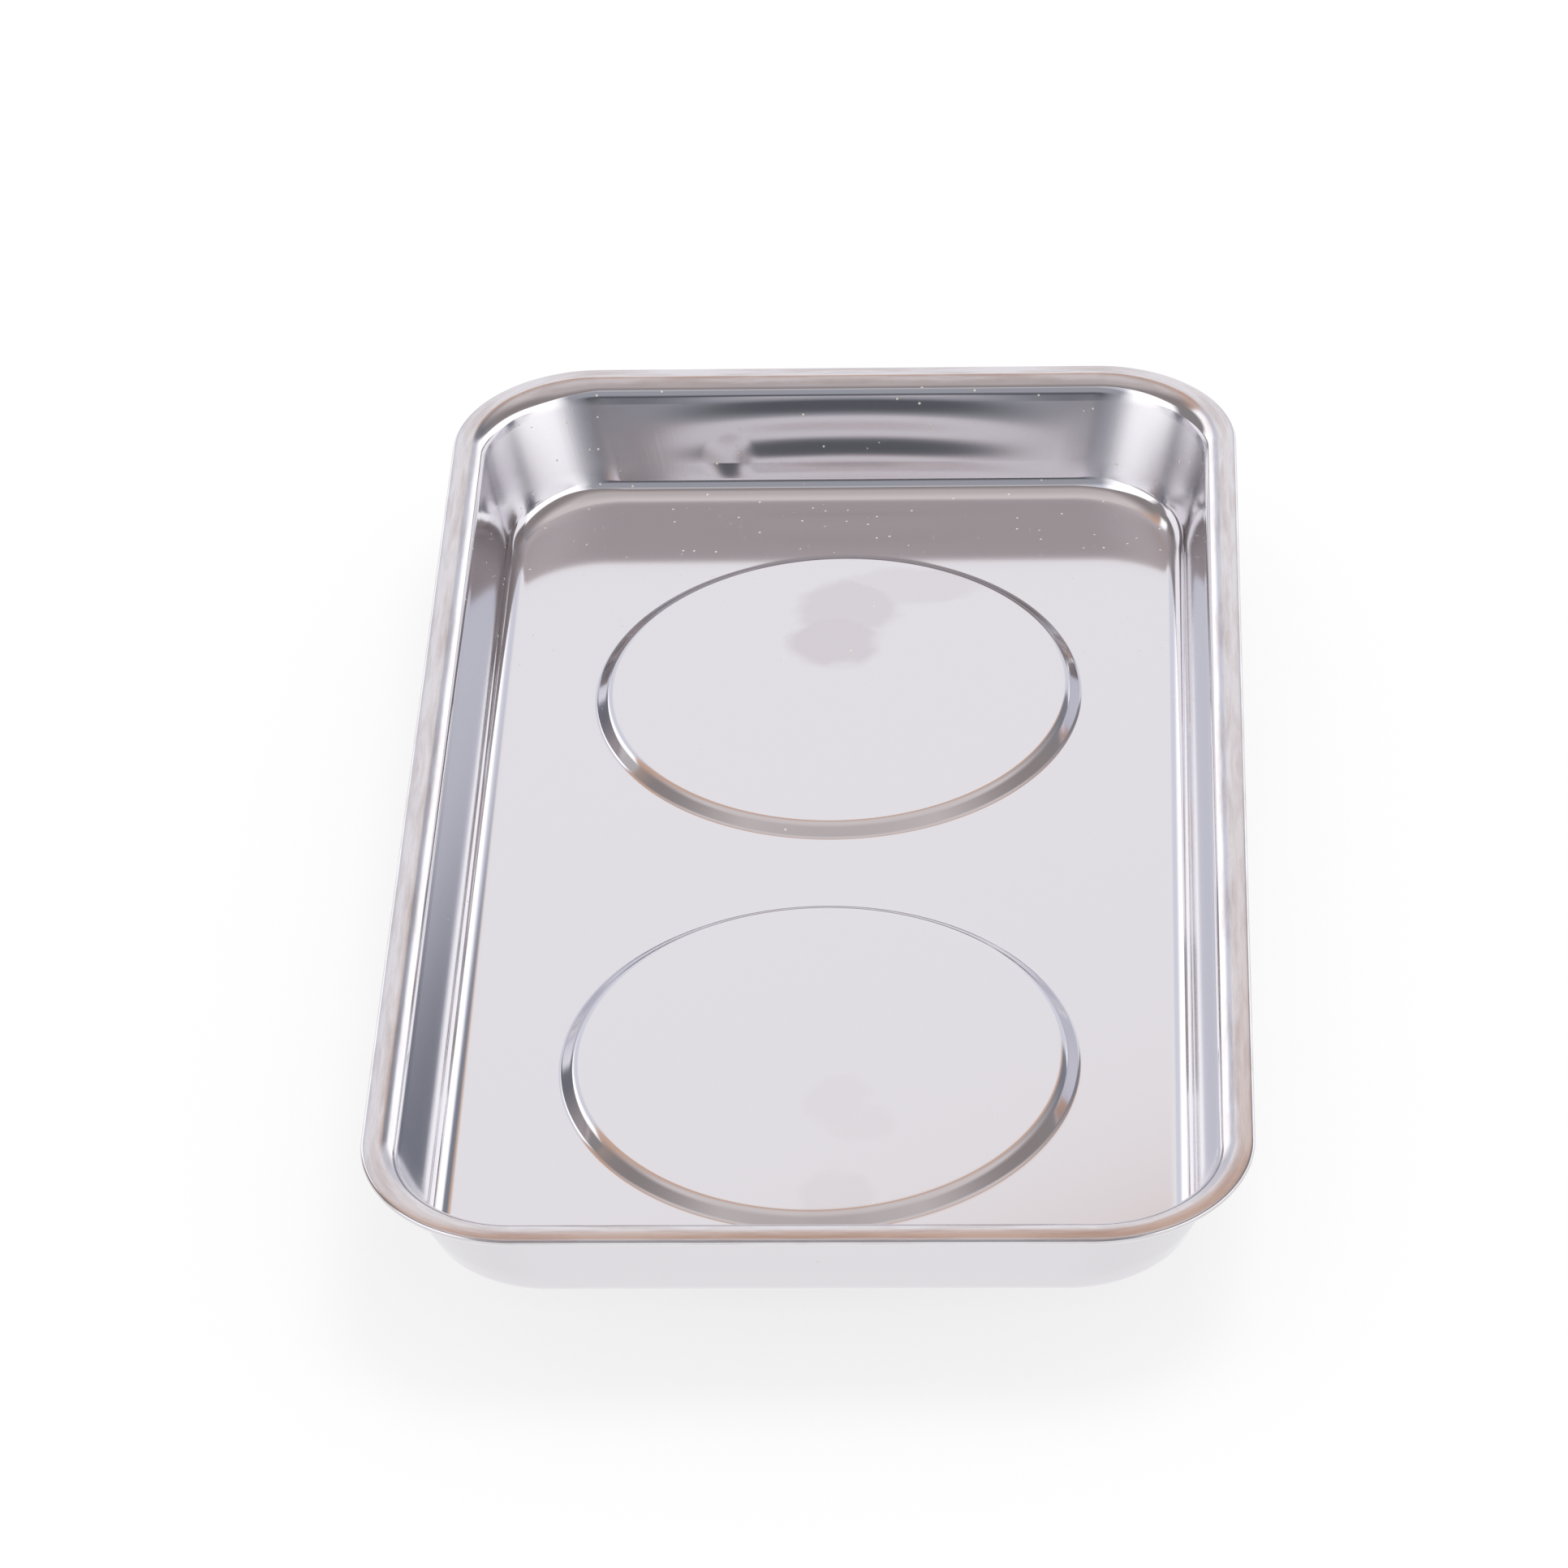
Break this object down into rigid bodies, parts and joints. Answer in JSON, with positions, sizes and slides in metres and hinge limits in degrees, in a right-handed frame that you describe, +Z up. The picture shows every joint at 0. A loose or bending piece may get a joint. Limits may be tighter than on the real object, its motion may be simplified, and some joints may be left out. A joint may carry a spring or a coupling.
{
  "type": "magnetic parts tray",
  "caption": "Oblong polished steel parts dish with a hemmed rim and round raised seats, each bolted over a rubber-booted ring magnet that holds loose hardware.",
  "frame": {"origin": "on the surface that the boots stand on, under the middle of the dish's rim", "axes": "+X across the tray, +Y along it from the front seat to the rear seat, +Z up out of the dish"},
  "size_m": [0.1364, 0.24, 0.0286],
  "materials": {
    "polished_stainless": "polished to a mirror, with handling marks",
    "zinc_plated_steel": "bright zinc plate",
    "ferrite": "sintered and ground, matt dark grey",
    "black_rubber": "moulded, matt"
  },
  "bodies": {
    "root": {"tray_pan": "polished_stainless", "front_weld_stud": "zinc_plated_steel", "front_backing_plate": "zinc_plated_steel", "front_ring_magnet": "ferrite", "front_rubber_boot": "black_rubber", "front_wide_washer": "zinc_plated_steel", "front_spring_washer": "zinc_plated_steel", "front_hex_nut": "zinc_plated_steel", "rear_weld_stud": "zinc_plated_steel", "rear_backing_plate": "zinc_plated_steel", "rear_ring_magnet": "ferrite", "rear_rubber_boot": "black_rubber", "rear_wide_washer": "zinc_plated_steel", "rear_spring_washer": "zinc_plated_steel", "rear_hex_nut": "zinc_plated_steel"}
  },
  "joints": []
}
